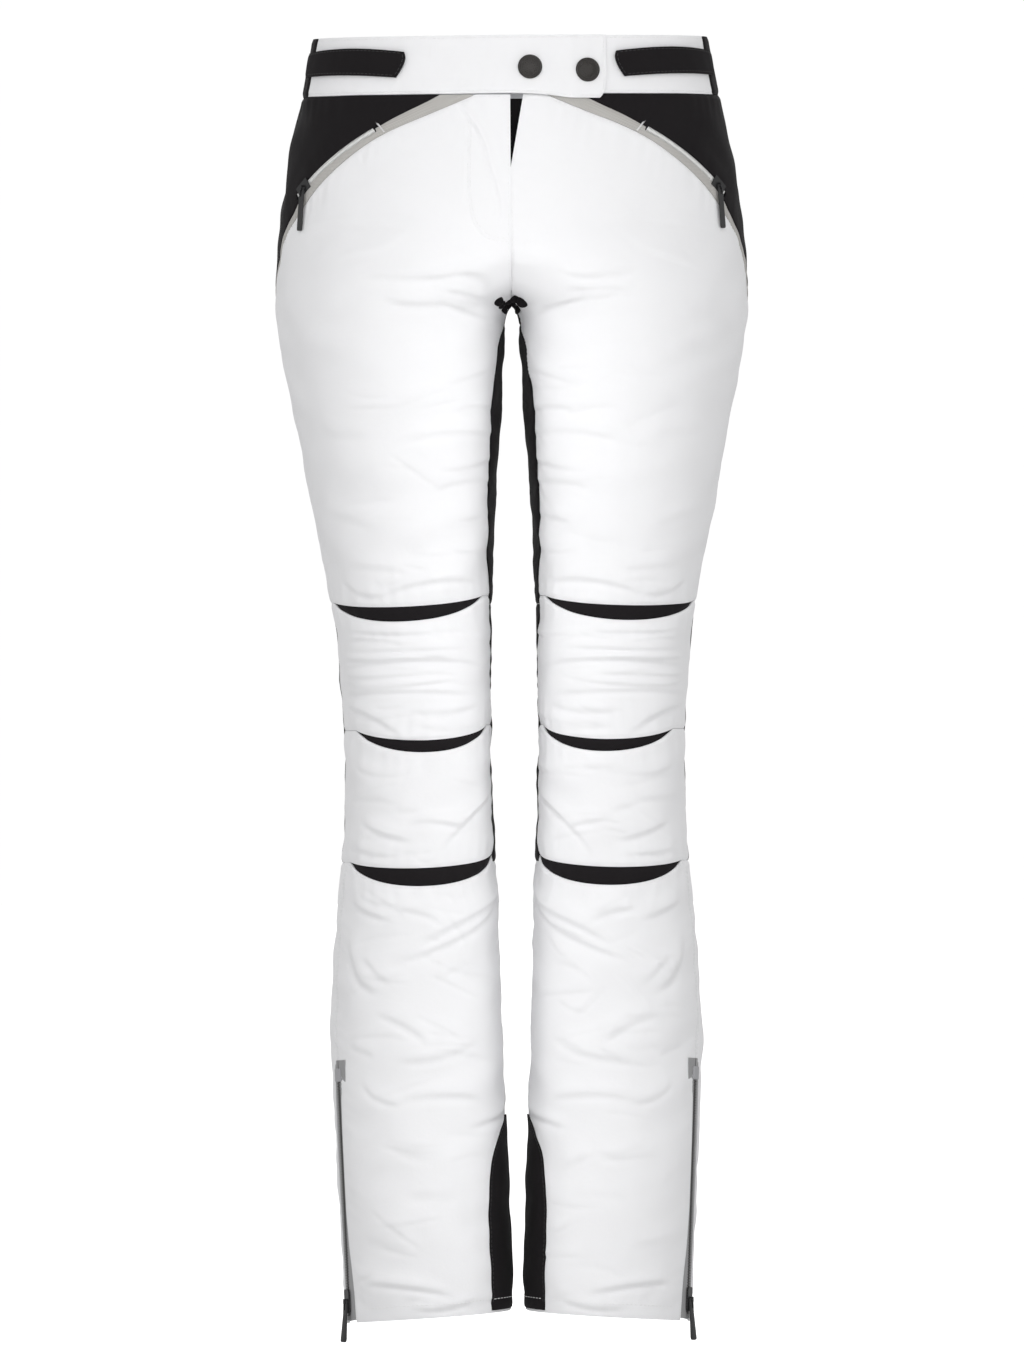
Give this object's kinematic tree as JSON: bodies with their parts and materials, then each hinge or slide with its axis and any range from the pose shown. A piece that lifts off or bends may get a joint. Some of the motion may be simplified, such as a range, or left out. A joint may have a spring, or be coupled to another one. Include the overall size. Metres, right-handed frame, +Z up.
{
  "type": "ski pants",
  "caption": "Women's insulated ski pants with snap waist tab, peel-open adjusters, zipped fly and hip pockets, darted bending knees and leg zips over inner gaiters.",
  "frame": {"origin": "centre of the waist opening, level with the waistband's top edge", "axes": "+Z up, the front faces -Y, +X is the wearer's left"},
  "size_m": [0.3728, 0.248, 1.0277],
  "materials": {
    "shell_white": "matte woven shell",
    "stretch_black": "matte stretch woven",
    "contrast_grey": "fine diagonal rib",
    "zip_tape_grey": "woven tape with moulded teeth",
    "zip_coil_white": "nylon coil on tape",
    "slider_black": "satin black",
    "pull_black": "soft moulded",
    "cord_black": "braided cord",
    "snap_dark": "dark satin relief",
    "socket_metal": "plain",
    "elastic_white": "ribbed elastic",
    "hook_loop_black": "hook and loop pile",
    "lining": "thin lining"
  },
  "bodies": {
    "upper": {"waistband_front_left": "shell_white", "waistband_front_right": "shell_white", "waistband_side_left": "stretch_black", "waistband_side_right": "stretch_black", "waistband_back": "shell_white", "waist_elastics": "elastic_white", "snap_sockets": "socket_metal", "strap_loop_patches": "hook_loop_black", "hip_contrast_strips": "contrast_grey", "fly_shield": "stretch_black", "fly_zip": "zip_tape_grey", "crotch_gusset": "stretch_black", "upper_knee_darts": "stretch_black", "hip_panel_left": "stretch_black", "seat_panel_left": "stretch_black", "front_thigh_left": "shell_white", "back_thigh_left": "shell_white", "inner_thigh_left": "stretch_black", "pocket_zip_left": "zip_coil_white", "pocket_bag_left": "lining", "knee_panel_upper_left": "shell_white", "knee_back_left": "stretch_black", "hip_panel_right": "stretch_black", "seat_panel_right": "stretch_black", "front_thigh_right": "shell_white", "back_thigh_right": "shell_white", "inner_thigh_right": "stretch_black", "pocket_zip_right": "zip_coil_white", "pocket_bag_right": "lining", "knee_panel_upper_right": "shell_white", "knee_back_right": "stretch_black"},
    "tab": {"waist_tab": "shell_white", "snap_caps": "snap_dark"},
    "fly_slider": {"fly_zip_slider": "slider_black"},
    "fly_pull": {"fly_zip_pull": "pull_black"},
    "strap_left": {"adjuster_strap_left": "stretch_black"},
    "pocket_slider_left": {"pocket_slider_left": "slider_black"},
    "pocket_pull_left": {"pocket_pull_left": "cord_black"},
    "lower_leg_left": {"knee_panel_lower_left": "shell_white", "lower_knee_darts_left": "stretch_black", "shin_front_left": "shell_white", "calf_back_left": "shell_white", "kick_patch_left": "stretch_black", "leg_zip_left": "zip_tape_grey", "gaiter_left": "lining"},
    "leg_slider_left": {"leg_zip_slider_left": "slider_black"},
    "leg_pull_left": {"leg_zip_pull_left": "pull_black"},
    "strap_right": {"adjuster_strap_right": "stretch_black"},
    "pocket_slider_right": {"pocket_slider_right": "slider_black"},
    "pocket_pull_right": {"pocket_pull_right": "cord_black"},
    "lower_leg_right": {"knee_panel_lower_right": "shell_white", "lower_knee_darts_right": "stretch_black", "shin_front_right": "shell_white", "calf_back_right": "shell_white", "kick_patch_right": "stretch_black", "leg_zip_right": "zip_tape_grey", "gaiter_right": "lining"},
    "leg_slider_right": {"leg_zip_slider_right": "slider_black"},
    "leg_pull_right": {"leg_zip_pull_right": "pull_black"}
  },
  "joints": [
    {"name": "tab_open", "type": "hinge", "parent": "upper", "child": "tab", "pos_m": [-0.00568, -0.10367, -0.00054], "axis": [-0.008, -0.127, -0.9919], "range_deg": [0, 110]},
    {"name": "strap_left_peel", "type": "hinge", "parent": "upper", "child": "strap_left", "pos_m": [0.15911, -0.0213, -0.01174], "axis": [-0.1846, 0.0134, 0.9827], "range_deg": [0, 120]},
    {"name": "strap_right_peel", "type": "hinge", "parent": "upper", "child": "strap_right", "pos_m": [-0.15911, -0.0213, -0.01174], "axis": [-0.1846, -0.0134, -0.9827], "range_deg": [0, 120]},
    {"name": "fly_slide", "type": "slide", "parent": "upper", "child": "fly_slider", "axis": [0, -0.0425, -0.9991], "range_m": [0, 0.095]},
    {"name": "fly_pull_swing", "type": "hinge", "parent": "fly_slider", "child": "fly_pull", "pos_m": [-0.014, -0.10042, -0.06235], "axis": [-1, 0, 0], "range_deg": [0, 6]},
    {"name": "pocket_left_slide", "type": "hinge", "parent": "upper", "child": "pocket_slider_left", "pos_m": [0.01563, 0.04324, -0.14462], "axis": [-0.2155, -0.5755, -0.7889], "range_deg": [0, 24]},
    {"name": "pocket_left_pull_swing", "type": "hinge", "parent": "pocket_slider_left", "child": "pocket_pull_left", "pos_m": [0.16475, -0.0501, -0.11827], "axis": [-0.6427, -0.7661, 0], "range_deg": [0, 150]},
    {"name": "knee_left", "type": "hinge", "parent": "upper", "child": "lower_leg_left", "pos_m": [0.076, -0.002, -0.557], "axis": [1, 0, 0], "range_deg": [0, 110], "deforming": ["knee_back_left"]},
    {"name": "leg_zip_left_slide", "type": "slide", "parent": "lower_leg_left", "child": "leg_slider_left", "axis": [0.0396, 0.0234, 0.9989], "range_m": [0, 0.16]},
    {"name": "leg_zip_left_pull_swing", "type": "hinge", "parent": "leg_slider_left", "child": "leg_pull_left", "pos_m": [0.13645, -0.03536, -0.99608], "axis": [-0.3657, -0.9307, 0], "range_deg": [0, 165]},
    {"name": "pocket_right_slide", "type": "hinge", "parent": "upper", "child": "pocket_slider_right", "pos_m": [-0.01563, 0.04324, -0.14462], "axis": [-0.2155, 0.5755, 0.7889], "range_deg": [0, 24]},
    {"name": "pocket_right_pull_swing", "type": "hinge", "parent": "pocket_slider_right", "child": "pocket_pull_right", "pos_m": [-0.16475, -0.0501, -0.11827], "axis": [-0.6427, 0.7661, 0], "range_deg": [0, 150]},
    {"name": "knee_right", "type": "hinge", "parent": "upper", "child": "lower_leg_right", "pos_m": [-0.076, -0.002, -0.557], "axis": [1, 0, 0], "range_deg": [0, 110], "deforming": ["knee_back_right"]},
    {"name": "leg_zip_right_slide", "type": "slide", "parent": "lower_leg_right", "child": "leg_slider_right", "axis": [-0.0396, 0.0234, 0.9989], "range_m": [0, 0.16]},
    {"name": "leg_zip_right_pull_swing", "type": "hinge", "parent": "leg_slider_right", "child": "leg_pull_right", "pos_m": [-0.13645, -0.03536, -0.99608], "axis": [-0.3657, 0.9307, 0], "range_deg": [0, 165]}
  ]
}
